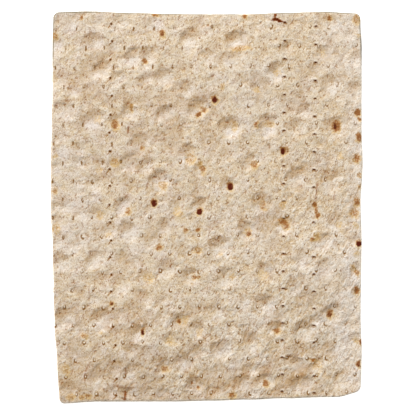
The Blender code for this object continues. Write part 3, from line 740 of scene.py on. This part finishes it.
# dark cracks: from, to, width and strength, and the thin brown line along the far side
cracks = {
    "lines": (
        (51, 145.6, 54.2, 146.2, 0.8, 0.8), (53.4, 146.6, 57.2, 145, 1.1, 1.2),
        (57.2, 145, 61, 144.6, 0.8, 0.8), (53.8, 146.4, 53.6, 149.6, 0.7, 0.7),
        (57, 46.8, 63.4, 46.4, 0.7, 0.6), (-63, -124, -63.2, -132.4, 0.7, 0.4),
        (-91, -63, -91.4, -72, 0.6, 0.3), (-63, -143, -63.6, -149, 1.1, 0.55),
        (86.2, 19, 84.8, 5.5, 0.6, 0.35), (99.8, 12, 99.4, 5.4, 0.7, 0.35), (-61, 58, -60.6, 63, 0.8, 0.5),
        (-90, -120, -94.5, -128, 0.9, 0.28), (-94.5, -128, -95, -135, 1, 0.36),
        (-72, -138.5, -58, -141, 0.9, 0.26),
    ),
    "wander": (0.5, 2.4, 96),  # how far the cracks stray, the size of that noise and its seed
    "fringe": 1.5,
    "above": 0.9,  # only the crumb higher than this is cracked
    "farEdge": 1.05,  # the brown line: strength and width
    "farWidth": 1.4,
    "farFringe": 1.3,
    "farFrom": (100.0, 130.0),
    "farUneven": (0.8, 0.4, 9.0, 98),
    "farLeft": (-74.0, -94.0),  # stronger here
    "farLeftGain": 0.4,
}


def lineShare(x, y, lines):
    # a share that is fullest on each line and fades over its width
    x, y = shaken(x, y, *cracks["wander"])
    share = np.zeros_like(x)
    for startX, startY, endX, endY, width, strength in lines:
        runX, runY = endX - startX, endY - startY
        part = held(((x - startX) * runX + (y - startY) * runY) / (runX**2 + runY**2))
        away = np.hypot(x - startX - part * runX, y - startY - part * runY)
        share = np.maximum(share, strength * smooth(cracks["fringe"] - away / width))
    return share


def farEdgeTones(x, y, inset):
    # a thin brown line along the far side that comes and goes
    middle, amount, size, seed = cracks["farUneven"]
    line = smooth(cracks["farFringe"] - inset / cracks["farWidth"]) * fade(y, *cracks["farFrom"])
    uneven = middle + amount * noise(x, y, size, seed)
    uneven = uneven + cracks["farLeftGain"] * fade(x, *cracks["farLeft"])
    return held(cracks["farEdge"] * line * uneven)


def setColours(target, name, *channels):
    # a colour attribute on the points, up to three shares to a point
    attribute = target.attributes.new(name, "FLOAT_COLOR", "POINT")
    values = np.ones((len(channels[0]), 4), np.float32)
    for place, channel in enumerate(channels):
        values[:, place] = channel
    attribute.data.foreach_set("color", values.ravel())


def setMap(target, name, u, v):
    # a UV map that carries two numbers of each point to the corners of its faces
    corners = np.empty(len(target.loops), np.int32)
    target.loops.foreach_get("vertex_index", corners)
    layer = target.uv_layers.new(name=name)
    layer.uv.foreach_set("vector", np.column_stack([u, v])[corners].astype(np.float32).ravel())


def setTones(target, points, insets, hollowTones, upperCount, outerFirst):
    # what the material reads at each point: shares of its paints, and its place among the marks
    x, y, z = points.T
    # painted shade on the hollows' far-left walls and brows, and painted light on the near-right side of
    # their floors
    shadedWalls, brows, floors = (held(tone / hollows["fullTone"]) for tone in hollowTones)
    # painted shade: the crumb's low places are painted browner, with a random mottle of its own tone
    fullRelief, middleTone = crumb["reliefTones"]
    relief = fineRelief(x, y) / fullRelief + middleTone
    amount, *mottle = crumb["mottle"]
    relief = relief + amount * layeredNoise(x, y, *mottle)
    for amount, along, across in crumb["nearLeftDarkening"]:
        relief = relief - amount * fade(y, *along) * fade(x, *across)
    # painted light: the crumb and the floors paler towards the right
    for across, onRelief, onFloors in crumb["litTowardsRight"]:
        towardsRight = fade(x, *across)
        relief = relief + onRelief * towardsRight
        floors = floors + onFloors * towardsRight
    patch = patchTones(x, y)
    floors = held(floors + crumb["patchFloor"] * held(patch))
    # the brown bands join the painted shade of the walls
    shadedWalls = held(shadedWalls + crumb["bandShare"] * lineShare(x, y, crumb["bands"]))
    setColours(target, "crumbTones", floors, shadedWalls, brows)
    setColours(target, "reliefTones", held(relief + patch))

    # painted light: a pale rim, strongest on the near right where the rim turns from the lamp
    everywhere, nearRight = sheet["paleRimShare"]
    rimShare = everywhere + nearRight * smooth(0.5 + sheet["paleRimTurn"] * toCorner(x, y))
    crack = held(lineShare(x, y, cracks["lines"])) * (z > cracks["above"])
    paleRim = held(1.0 - insets / sheet["paleRim"]) * rimShare
    setColours(target, "edgeTones", paleRim, farEdgeTones(x, y, insets), crack)

    column, row = dockingPlace(x, y)
    markColumn, markRow = nearestMark(column, row)[2:]
    across, number, slitColumn = slitPlace(x, y)
    dash = fade(-toCorner(x, y), *docking["dashes"])
    dash = held(dash * (docking["dashUneven"] + markChance(markColumn, markRow, docking["dashSeed"])))
    strength = markStrength(x, y, markColumn, markRow)
    setColours(target, "markTones", strength, dash, (slitColumn == 0).astype(float))
    setMap(target, "dockingMap", column, row)
    setMap(target, "slitMap", across, number)

    order = np.arange(len(points))
    below = (order >= upperCount) & (order < outerFirst)
    sides = zip(toastTones(x, y, toast["spots"]), toastTones(x, y, underSpotRows()))
    setColours(target, "toastTones", *(np.where(below, under, upper) for upper, under in sides))


def buildSheet():
    # upper face, a rounded edge and the table side, closed into one skin
    x, y, inset = laidOut(*sheetGrid())
    x, y = strayed(x, y, inset)
    upper, hollowTones = upperFace(x, y, inset, hollowRows())
    underX, underY, underInset = x[::2, ::2], y[::2, ::2], inset[::2, ::2]
    under = underFace(underX, underY, underInset)
    edge = perimeter(*x.shape)
    ring = edgeRing(edge, upper.ravel()[edge])
    points = np.concatenate([
        np.column_stack([x.ravel(), y.ravel(), upper.ravel()]),
        np.column_stack([underX.ravel(), underY.ravel(), under.ravel()]),
        np.column_stack(ring),
    ])
    points[:, :2] = held(points[:, :2], cadLow[:2] + sheet["inBox"], cadHigh[:2] - sheet["inBox"])
    points[:, 2] = held(points[:, 2], cadLow[2], cadHigh[2] - sheet["inBox"])

    outerFirst = x.size + underX.size
    upperFaces = gridFaces(*x.shape, 0, True)
    underFaces = gridFaces(*underX.shape, x.size, False)
    band, turn = edgeFaces(edge, perimeter(*underX.shape) + x.size, outerFirst)
    faces = upperFaces.tolist() + band.tolist() + turn.tolist() + underFaces.tolist()
    target = bpy.data.meshes.new("lavashSheet")
    target.from_pydata((points * mm).tolist(), [], faces)
    target.shade_smooth()
    slots = np.zeros(len(faces), np.int32)
    slots[len(upperFaces) + len(band):] = 1
    target.materials.append(None)
    target.materials.append(None)
    target.polygons.foreach_set("material_index", slots)

    rest = np.zeros(underX.size + len(edge))
    insets = np.concatenate([inset.ravel(), underInset.ravel(), np.zeros(len(edge))])
    hollowTones = [np.concatenate([tone.ravel(), rest]) for tone in hollowTones]
    setTones(target, points, insets, hollowTones, x.size, outerFirst)

    piece = bpy.data.objects.new("lavashSheet", target)
    bpy.context.scene.collection.objects.link(piece)
    print("sheet meshed:", len(points), "points,", 2 * len(faces) - len(turn), "triangles")
    return piece


def paint(red, green, blue):
    # a colour read in screen numbers from 0 to 255, turned to the linear shares that nodes take
    shares = np.array([red, green, blue]) / 255.0
    linear = np.where(shares <= 0.04045, shares / 12.92, ((shares + 0.055) / 1.055) ** 2.4)
    return (*linear.tolist(), 1.0)


def mathNode(operation):
    # a rule that takes a signal, with what it is combined with, through a Math node
    def combine(first, *others):
        return addNode(first.tree, "ShaderNodeMath", enumerate((first, *others)), operation=operation)

    return combine


class Signal:
    # what comes out of a shader node; signals add up like numbers, each sum a node of the same tree
    def __init__(self, socket):
        self.socket = socket
        self.tree = socket.id_data

    def __rsub__(self, other):
        return self * -1.0 + other

    def held(self):
        # the last sum kept between 0 and 1
        self.socket.node.use_clamp = True
        return self

    __add__ = mathNode("ADD")
    __sub__ = mathNode("SUBTRACT")
    __mul__ = mathNode("MULTIPLY")
    __truediv__ = mathNode("DIVIDE")
    __abs__ = mathNode("ABSOLUTE")
    __round__ = mathNode("ROUND")


larger = mathNode("MAXIMUM")
root = mathNode("SQRT")
pingPong = mathNode("PINGPONG")


def feed(socket, value):
    # a signal is linked to a socket, a number or a colour is set on it
    if isinstance(value, Signal):
        socket.id_data.links.new(value.socket, socket)
    else:
        socket.default_value = value


def addNode(tree, kind, inputs=(), output=0, **settings):
    # a node with its settings made and its inputs fed; gives one output, or all where that is None
    node = tree.nodes.new(kind)
    for name, value in settings.items():
        setattr(node, name, value)
    for name, value in dict(inputs).items():
        feed(node.inputs[name], value)
    if output is None:
        return [Signal(socket) for socket in node.outputs]
    return Signal(node.outputs[output])


def distance(across, along):
    # the root of the sum of two squares
    return root(across * across + along * along)


def step(value, low, high, lowTo=0.0, highTo=1.0):
    # a smooth step of a value from low to high
    inputs = {"Value": value, "From Min": low, "From Max": high, "To Min": lowTo, "To Max": highTo}
    return addNode(value.tree, "ShaderNodeMapRange", inputs, interpolation_type="SMOOTHSTEP")


def blend(share, first, second):
    # the first colour, giving way to the second by a share
    return addNode(share.tree, "ShaderNodeMix", {0: share, 6: first, 7: second}, 2, data_type="RGBA")


def parts(signal):
    # the three numbers of a colour or a vector
    kind = "ShaderNodeSeparateXYZ" if signal.socket.type == "VECTOR" else "ShaderNodeSeparateColor"
    return addNode(signal.tree, kind, {0: signal}, None)[:3]


def turned(vector, angle, stretch):
    # a place turned about the sheet's normal, then multiplied along each axis
    spun = addNode(vector.tree, "ShaderNodeVectorRotate", {"Vector": vector, "Angle": angle},
                   rotation_type="Z_AXIS")
    return addNode(vector.tree, "ShaderNodeVectorMath", {0: spun, 1: stretch}, operation="MULTIPLY")


def speckle(vector, size, detail=2.0, roughness=0.5, distortion=0.0):
    # noise of a given grain size in millimetres
    inputs = {
        "Vector": vector, "Scale": 1.0 / (size * mm), "Detail": detail,
        "Roughness": roughness, "Distortion": distortion,
    }
    return addNode(vector.tree, "ShaderNodeTexNoise", inputs)


def openGroup(name, **sockets):
    # a node group and its inputs as signals, each given as a kind or as the number that it starts at
    tree = bpy.data.node_groups.new(name, "ShaderNodeTree")
    for title, kind in sockets.items():
        number = isinstance(kind, float)
        socketType = "NodeSocket" + ("Float" if number else kind)
        socket = tree.interface.new_socket(title, in_out="INPUT", socket_type=socketType)
        if number:
            socket.default_value = kind
    start = tree.nodes.new("NodeGroupInput")
    return tree, *(Signal(start.outputs[title]) for title in sockets)


def closeGroup(tree, **results):
    # the group's outputs, each named and fed by its signal
    for title, signal in results.items():
        kind = "NodeSocketColor" if signal.socket.type == "RGBA" else "NodeSocketFloat"
        tree.interface.new_socket(title, in_out="OUTPUT", socket_type=kind)
    end = tree.nodes.new("NodeGroupOutput")
    for title, signal in results.items():
        feed(end.inputs[title], signal)
    return tree


def placeGroup(group, *inputs):
    # a group set into a material, fed in the order of its inputs; gives its outputs in their order
    return addNode(inputs[0].tree, "ShaderNodeGroup", enumerate(inputs), None, node_tree=group)


# the crumb's grain: each noise by its size in millimetres, detail, roughness and distortion
grain = {
    "turn": 0.52,
    "stretch": (1.45, 0.75, 1.0),
    "broad": (14.0, 2.0),
    "middle": (3.4, 2.0, 0.6),
    "fine": (1.05, 2.0, 0.65),
    "hue": (9.0, 4.0, 0.72),
    "hueAside": (0.3, 0.1, 0.2),  # in metres
    "pits": (1.8, 1.0, 0.5),
    "pitGate": (0.5, 0.14, 0.35, 0.1),  # start, more by the Pits input, less by the mottling, softness
    "cracks": (4.2, 1.0, 0.5, 0.3),
    "crackWidth": (0.045, 0.005),
    "crackPatches": (5.0, 1.0),
    "crackGate": (0.44, 0.62),
    "ridges": (1.9, 1.0, 0.5, 0.4),
    "ridgeTurn": -1.06,
    "ridgeStretch": (0.42, 1.0, 1.0),
    "heights": (0.55, 0.34, -0.07, -0.06, 0.48),  # of middle, fine, pits, cracks and ridges
}


def crumbGrain():
    # baked crumb: streaks, mottling, brown specks and fine cracks, and a height for the bump
    tree, vector, pitLevel, ridgeLevel = openGroup("crumbGrain", Vector="Vector", Pits=0.5, Ridges=0.5)
    drawn = turned(vector, grain["turn"], grain["stretch"])
    combed = turned(vector, grain["ridgeTurn"], grain["ridgeStretch"])
    aside = addNode(tree, "ShaderNodeVectorMath", {0: vector, 1: grain["hueAside"]}, operation="ADD")
    broad = speckle(vector, *grain["broad"])
    middle = speckle(vector, *grain["middle"])
    fine = speckle(drawn, *grain["fine"])
    hue = speckle(aside, *grain["hue"])
    start, byInput, byMiddle, softness = grain["pitGate"]
    gate = middle * -byMiddle + (pitLevel * byInput + start)
    pits = step(speckle(drawn, *grain["pits"]), gate, gate - softness)
    cracked = step(abs(speckle(drawn, *grain["cracks"]) - 0.5), *grain["crackWidth"])
    cracked = cracked * step(speckle(vector, *grain["crackPatches"]), *grain["crackGate"])
    ridge = (speckle(combed, *grain["ridges"]) - 0.5) * ridgeLevel
    ofMiddle, ofFine, ofPits, ofCracks, ofRidges = grain["heights"]
    height = middle * ofMiddle + fine * ofFine + pits * ofPits + cracked * ofCracks + ridge * ofRidges
    return closeGroup(tree, Broad=broad, Middle=middle, Fine=fine, Pits=pits, Cracks=cracked, Hue=hue,
                      Ridge=ridge, Height=height)


# one docking mark as it is painted, in millimetres; an edge's pair is where it starts and is full
ringPaint = {
    "stray": (1.1, 1.2),
    "across": (0.9, 0.5),  # scale across, and how much more by chance
    "along": (0.6, 0.3),
    "radius": 1.05,
    "band": (0.75, 0.1),
    "skew": 4.0,
    "sided": (0.4, 0.5, 0.56),  # how one-sided the ring is: softness, contrast and mean
    "middle": (0.6, 0.15),
    # painted highlight: a pale arc beside each ring, on its side towards the lamp
    "haloTo": (-0.8, -0.6),  # a pale arc beside the ring lies this way
    "haloRadius": 2.4,
    "haloBand": (1.0, 0.1),
    "haloSide": (0.2, 2.0),
    "haloShare": 0.42,
    "dashScale": (1.35, 0.5),
    "dashEdge": (1.2, 0.4),
    "dashShare": 1.35,
    "heights": (0.06, 0.03),
}


def dockingMark():
    # a small pressed ring with a raised middle, or a short dash, at each whole number of the lattice
    tree, place, strength, toDash = openGroup("dockingMark", Place="Vector", Strength=1.0, Dash=0.0)
    column, row, _ = parts(place)
    markRow = round(row)
    shifted = (1.0 - pingPong(markRow, 1.0)) * -0.5 + column
    markColumn = round(shifted)
    own = addNode(tree, "ShaderNodeCombineXYZ", {0: markColumn, 1: markRow})
    draws = addNode(tree, "ShaderNodeTexWhiteNoise", {"Vector": own}, "Color", noise_dimensions="3D")
    first, second, third = parts(draws)
    dx = (shifted - markColumn) * docking["pitch"] + (second - 0.5) * ringPaint["stray"][0]
    dy = (row - markRow) * docking["rowPitch"] + (third - 0.5) * ringPaint["stray"][1]
    scaleAcross, moreAcross = ringPaint["across"]
    scaleAlong, moreAlong = ringPaint["along"]
    away = distance(dx * (first * moreAcross + scaleAcross), dy * (second * moreAlong + scaleAlong))

    softness, contrast, mean = ringPaint["sided"]
    lower = dx * ((third - 0.5) * ringPaint["skew"]) + dy
    side = (lower / (away + softness) * contrast + mean).held()
    ring = step(abs(away - ringPaint["radius"]), *ringPaint["band"]) * side
    # painted highlight: the pale arc on the ring's lamp side
    haloward = dx * ringPaint["haloTo"][0] + dy * ringPaint["haloTo"][1]
    halo = step(abs(away - ringPaint["haloRadius"]), *ringPaint["haloBand"])
    halo = halo * step(haloward, *ringPaint["haloSide"])
    middle = larger(step(away, *ringPaint["middle"]), halo * ringPaint["haloShare"])
    dashAway = distance(dx * ringPaint["dashScale"][0], dy * ringPaint["dashScale"][1])
    dash = step(dashAway, *ringPaint["dashEdge"])

    toRing = 1.0 - toDash
    dark = (ring * toRing + dash * (toDash * ringPaint["dashShare"])).held() * strength
    pale = middle * toRing * strength
    rise, sink = ringPaint["heights"]
    return closeGroup(tree, Dark=dark, Pale=pale, Height=pale * rise - dark * sink)


# one slit as it is painted, in millimetres; an edge's pair is where it starts and is full
slitPaint = {
    "stray": 1.7,
    "halfWidth": (1.15, 0.5),  # and how much more by chance
    "ends": (0.8, 0.7),  # no paint so far outside the ends, full paint so far inside
    "line": (0.62, 0.15),
    "lineShare": 0.7,
    "coreScale": (0.85, 1.5),
    "core": (1.15, 0.55),
    # painted shadow: a brown band just on the near side of each straight slit
    "brownAside": 0.5,
    "brown": (1.7, 0.3),
    "brownShare": 0.75,
    # the slanting ones are a dot with a brown hook
    "dot": (0.75, -0.2),
    "dotEdge": (1.1, 0.3),
    "hookEdge": (1.5, 0.8),
    "hookShare": 0.9,
    "tailStart": 0.8,
    "tailLean": 0.75,
    "tail": (0.9, 0.2),
    "tailNear": (-0.6, 0.2),
    "tailFar": (3.6, 2.2),
    # painted highlight: a pale line along the raised lip on each slit's far side, which faces the lamp
    "lipAside": 1.5,
    "lip": (0.9, 0.1),
    "heights": (0.06, 0.02),
}


def slitMark():
    # a half-moon slit at each whole number down a column, slanting on the left column
    tree, place, slant = openGroup("slitMark", Place="Vector", Slant=0.0)
    across, number, _ = parts(place)
    own = round(number)
    chance, draws = addNode(tree, "ShaderNodeTexWhiteNoise", {"W": own}, None, noise_dimensions="1D")
    first, second, _ = parts(draws)
    astray = slant * slitPaint["stray"]
    across = (first - 0.5) * astray + across
    along = (second - 0.5) * astray + (number - own) * slits["pitch"]
    straight = 1.0 - slant
    middle = along - across * across * slits["arch"] * straight + across * slant * slits["slant"]

    least, more = slitPaint["halfWidth"]
    outside, inside = slitPaint["ends"]
    wide = chance * more + least
    reach = step(abs(across), wide + outside, wide - inside)
    line = reach * step(abs(middle), *slitPaint["line"]) * slitPaint["lineShare"]
    coreAcross, coreAlong = slitPaint["coreScale"]
    core = step(distance(across * coreAcross, middle * coreAlong), *slitPaint["core"])
    crescent = larger(line, core) * straight
    # painted shadow below the slit's line
    shade = step(abs(middle - slitPaint["brownAside"]), *slitPaint["brown"]) * straight * reach

    dotAcross, dotAlong = slitPaint["dot"]
    dotAway = distance(across - dotAcross, along - dotAlong)
    hooked = slant * slitPaint["hookShare"]
    tail = step(abs((along - slitPaint["tailStart"]) * slitPaint["tailLean"] + across), *slitPaint["tail"])
    tail = tail * step(along, *slitPaint["tailNear"]) * step(along, *slitPaint["tailFar"])
    hook = larger(tail, step(dotAway, *slitPaint["hookEdge"]))

    dark = larger(crescent, step(dotAway, *slitPaint["dotEdge"]) * hooked)
    # the painted shadow of the straight slits and the brown hooks of the slanting ones
    brown = larger(shade * slitPaint["brownShare"], hook * hooked)
    # painted highlight on the slit's lip
    pale = reach * step(abs(middle + slitPaint["lipAside"]), *slitPaint["lip"])
    rise, sink = slitPaint["heights"]
    return closeGroup(tree, Dark=dark, Brown=brown, Pale=pale, Height=pale * rise - dark * sink)


# toast paints, one over the other: colour, the most of it, where it starts and is full, raggedness
toastPaint = {
    "ragged": (1.5, 2.0, 0.6),
    "start": (0.0, 0.3),
    "layers": (
        (paint(217, 181, 114), 0.68, 0.1, 1.0, 1.9),
        (paint(146, 87, 38), 0.9, 0.2, 1.05, 1.7),
        (paint(84, 24, 4), 0.97, 0.3, 0.8, 0.8),
    ),
}


def toastColour():
    # toast laid over a crumb colour: gold, brown and char, their borders broken up by fine noise
    tree, vector, colour, tones = openGroup("toastColour", Vector="Vector", Crumb="Color", Toast="Color")
    broken = speckle(vector, *toastPaint["ragged"]) - 0.5
    for tone, (shade, most, low, high, rough) in zip(parts(tones), toastPaint["layers"]):
        share = step(broken * rough + tone, low, high) * most * step(tone, *toastPaint["start"])
        colour = blend(share, colour, shade)
    return closeGroup(tree, Color=colour, Char=share)


upperLook = {
    "tan": paint(209, 188, 155),
    "beige": paint(221, 208, 187),
    "cream": paint(227, 218, 209),
    "bright": paint(238, 232, 224),
    "brown": paint(164, 126, 80),
    # painted shade of the hollows' far-left walls
    "shadedWall": paint(188, 152, 108),
    "pit": paint(146, 94, 49),
    # painted light on the rim
    "edge": paint(247, 238, 222),
    "farEdge": paint(124, 114, 94),
    "crack": paint(84, 28, 2),
    "crackBrown": paint(144, 84, 36),
    "markDark": paint(134, 96, 50),
    "markPale": paint(238, 228, 214),
    "slitDark": paint(72, 24, 0),
    # painted shadow beside the straight slits, and the brown hooks of the slanting ones
    "slitBrown": paint(150, 104, 48),
    "lilac": paint(221, 206, 202),
    "straw": paint(222, 188, 140),
    # how much of each paint; pairs are where its noise or tone starts and where it is full
    "landMottle": (0.3, 0.7),
    "floor": 0.64,
    "broad": 1.5,
    "lilacShare": 0.3,
    "lilacRange": (0.5, 0.66),
    "strawShare": 0.22,
    "strawRange": (0.5, 0.34),
    "hueLean": -0.5,  # lilac towards the left, straw towards the right, by this much a metre
    "fine": 0.7,
    "floorFine": -0.14,
    "wallFine": 0.16,
    "fineRange": 0.22,
    # the ridges' share of the grain's colour: painted highlight on their crests, painted shade in their
    # grooves
    "ridge": 0.6,
    "ridgeSpread": (4.1, -3.3, 0.0),  # one over the width and the length in metres
    "ridgeRange": (-0.35, 0.65, 0.1, 1.0),
    "relief": 0.6,
    "wallShare": 0.62,
    "browShare": 0.8,
    "browBreaks": (0.7, 0.4),
    "pits": 0.5,
    "fewerPits": 0.55,
    "pitShare": 0.6,
    "wallPits": 0.3,
    "crackShare": 0.38,
    "edgeShare": 0.88,
    "crackBrownRange": (0.0, 0.6),
    "crackRange": (0.35, 1.0),
    "marks": 1.65,
    "ringPale": 0.68,
    "slits": 1.0,
    "slitPale": 0.6,
    "wear": (-3.4, 0.95),  # the marks break up with the fine grain
    "bump": 1.0,
    "roughness": (0.9, 0.75),  # of crumb and of char
    "specular": 0.1,
}
underLook = dict(upperLook, pits=0.3, pitShare=0.4, broad=2.5, marks=0.7, slits=0.6, edgeShare=0.0)


def crumbMaterial(name, groups, look):
    # baked crumb with its grain, marks and toast; look holds what differs between the two faces
    material = bpy.data.materials.new(name)
    material.use_nodes = True
    tree = material.node_tree
    shader = tree.nodes["Principled BSDF"]
    where = addNode(tree, "ShaderNodeTexCoord", output="Object")
    ringPlace = addNode(tree, "ShaderNodeUVMap", uv_map="dockingMap")
    slitsPlace = addNode(tree, "ShaderNodeUVMap", uv_map="slitMap")
    crumbTones, reliefTones, edgeTones, markTones, toasted = (
        addNode(tree, "ShaderNodeAttribute", attribute_name=title)
        for title in ("crumbTones", "reliefTones", "edgeTones", "markTones", "toastTones")
    )
    hollow, shadedWall, brow = parts(crumbTones)
    relief = parts(reliefTones)[0]
    edge, farEdge, crack = parts(edgeTones)
    strength, dash, slant = parts(markTones)

    ridged = addNode(tree, "ShaderNodeVectorMath", {0: where, 1: look["ridgeSpread"]}, "Value",
                     operation="DOT_PRODUCT")
    ridged = step(ridged, *look["ridgeRange"])
    fewer = hollow * -look["fewerPits"] + look["pits"]
    broad, middle, fine, pits, fineCracks, hue, ridge, height = placeGroup(
        groups["grain"], where, fewer, ridged)
    dark, pale, ringHeight = placeGroup(groups["docking"], ringPlace, strength * look["marks"], dash)
    cut, cutBrown, cutPale, cutHeight = placeGroup(groups["slit"], slitsPlace, slant)

    fine = fine - 0.5
    # the grain's colour follows its bump: partly the crumb's own grain, partly painted shade in low places
    # and painted highlight on high ones
    lighter = ridge * look["ridge"] + fine
    # the grain shows stronger on the shaded walls, as part of their painted shade
    rough = hollow * look["floorFine"] + look["fine"] + shadedWall * look["wallFine"]
    drift = parts(where)[0] * look["hueLean"] + hue
    wear, whole = look["wear"]
    worn = fine * wear + whole
    colour = blend(step(middle, *look["landMottle"]), look["tan"], look["beige"])
    # the paints that follow, each laid by its share over those before it
    for share, shade in (
        # cream over the broad mottle and over the hollows' floors, which carry painted light on their
        # near-right side
        (((broad - 0.5) * look["broad"] + hollow * look["floor"]).held(), "cream"),
        (step(drift, *look["lilacRange"]) * look["lilacShare"], "lilac"),
        (step(drift, *look["strawRange"]) * look["strawShare"], "straw"),
        # painted highlight and shade of the grain: brighter where it stands high, browner where low
        (step(lighter, 0.0, look["fineRange"]) * rough, "bright"),
        (step(lighter, 0.0, -look["fineRange"]) * rough, "brown"),
        # painted shade: browner where the crumb's relief is low
        (((0.5 - relief) * look["relief"]).held(), "brown"),
        # painted shade on the hollows' far-left walls, which turn away from the lamp
        (shadedWall * look["wallShare"], "shadedWall"),
        # painted shade: a thin brown brow at the far-left rim of each hollow, broken by the mottle
        (brow * step(middle, *look["browBreaks"]) * look["browShare"], "brown"),
        # more pits on the shaded walls, as part of their painted shade
        (pits * (shadedWall * look["wallPits"] + look["pitShare"]), "pit"),
        (fineCracks * look["crackShare"], "pit"),
        # painted light on the rim, strongest on the near right
        (edge * look["edgeShare"], "edge"),
        (farEdge, "farEdge"),
        (step(crack, *look["crackBrownRange"]), "crackBrown"),
        (step(crack, *look["crackRange"]), "crack"),
        # pale ring middles, with the painted highlight of the halo
        (pale * look["ringPale"], "markPale"),
        # painted highlight on the slits' lips
        (cutPale * (look["slitPale"] * look["slits"]), "markPale"),
        ((dark * worn).held(), "markDark"),
        ((cutBrown * look["slits"] * worn).held(), "slitBrown"),
        (cut * look["slits"], "slitDark"),
    ):
        colour = blend(share, colour, look[shade])

    colour, char = placeGroup(groups["toast"], where, colour, toasted)
    height = height + (ringHeight + cutHeight * look["slits"])
    bump = addNode(tree, "ShaderNodeBump", {"Strength": look["bump"], "Distance": mm, "Height": height})
    feed(shader.inputs["Base Color"], colour)
    feed(shader.inputs["Roughness"], step(char, 0.0, 1.0, *look["roughness"]))
    feed(shader.inputs["Specular IOR Level"], look["specular"])
    feed(shader.inputs["Normal"], bump)
    return material


# lengths of the studio are in metres, the lens and its sensor in millimetres
studio = {
    "camera": (0.00117, -0.00039, 1.801),
    "lens": 200.0,
    "sensor": 36.0,
    "seesTo": 100.0,
    "keyFrom": (-0.31, 0.77, 0.58),
    "keyAway": 4.4,
    "keySize": 0.935,
    "keyPower": 287.0,
    "skyStrength": 0.23,
    "skyColour": (1.0, 0.955, 0.89),
    "floorSize": 40.0,
    "floorDrop": 0.0003,
    "floorPaint": (0.8, 0.8, 0.8, 1.0),
    "floorGlow": 0.85,
}


def buildFloor():
    # a wide white floor that glows a little, just below the sheet
    half, low = studio["floorSize"] / 2, -studio["floorDrop"]
    floorMesh = bpy.data.meshes.new("studioFloor")
    corners = [(-half, -half, low), (half, -half, low), (half, half, low), (-half, half, low)]
    floorMesh.from_pydata(corners, [], [(0, 1, 2, 3)])
    floor = bpy.data.objects.new("studioFloor", floorMesh)
    bpy.context.scene.collection.objects.link(floor)
    white = bpy.data.materials.new("studioWhite")
    white.use_nodes = True
    shader = white.node_tree.nodes["Principled BSDF"]
    shader.inputs["Base Color"].default_value = studio["floorPaint"]
    shader.inputs["Roughness"].default_value = 1.0
    shader.inputs["Specular IOR Level"].default_value = 0.0
    shader.inputs["Emission Color"].default_value = (1.0, 1.0, 1.0, 1.0)
    shader.inputs["Emission Strength"].default_value = studio["floorGlow"]
    floorMesh.materials.append(white)


def buildStudio():
    # an even white sky, one soft lamp from the far left and the camera overhead
    scene = bpy.context.scene
    world = bpy.data.worlds.new("studioSky")
    world.use_nodes = True
    sky = world.node_tree.nodes["Background"]
    sky.inputs["Color"].default_value = (*studio["skyColour"], 1.0)
    sky.inputs["Strength"].default_value = studio["skyStrength"]
    scene.world = world

    lamp = bpy.data.lights.new("softKey", "AREA")
    lamp.shape = "DISK"
    lamp.size = studio["keySize"]
    lamp.energy = studio["keyPower"]
    key = bpy.data.objects.new("softKey", lamp)
    toKey = np.array(studio["keyFrom"]) / np.linalg.norm(studio["keyFrom"])
    key.location = (toKey * studio["keyAway"]).tolist()
    key.rotation_euler = key.location.to_track_quat("Z", "Y").to_euler()
    scene.collection.objects.link(key)

    lens = bpy.data.cameras.new("overhead")
    lens.lens = studio["lens"]
    lens.sensor_width = studio["sensor"]
    lens.clip_end = studio["seesTo"]
    camera = bpy.data.objects.new("overhead", lens)
    camera.location = studio["camera"]
    scene.collection.objects.link(camera)
    scene.camera = camera
    scene.view_settings.view_transform = "Standard"
    print("studio ready")


lavash = buildSheet()
markGroups = {"grain": crumbGrain(), "docking": dockingMark(), "slit": slitMark(), "toast": toastColour()}
lavash.data.materials[0] = crumbMaterial("bakedFace", markGroups, upperLook)
lavash.data.materials[1] = crumbMaterial("bakedUnderside", markGroups, underLook)
print("materials ready")
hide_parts("lavash")
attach(lavash, "root")
print("sheet finished")

buildFloor()
buildStudio()
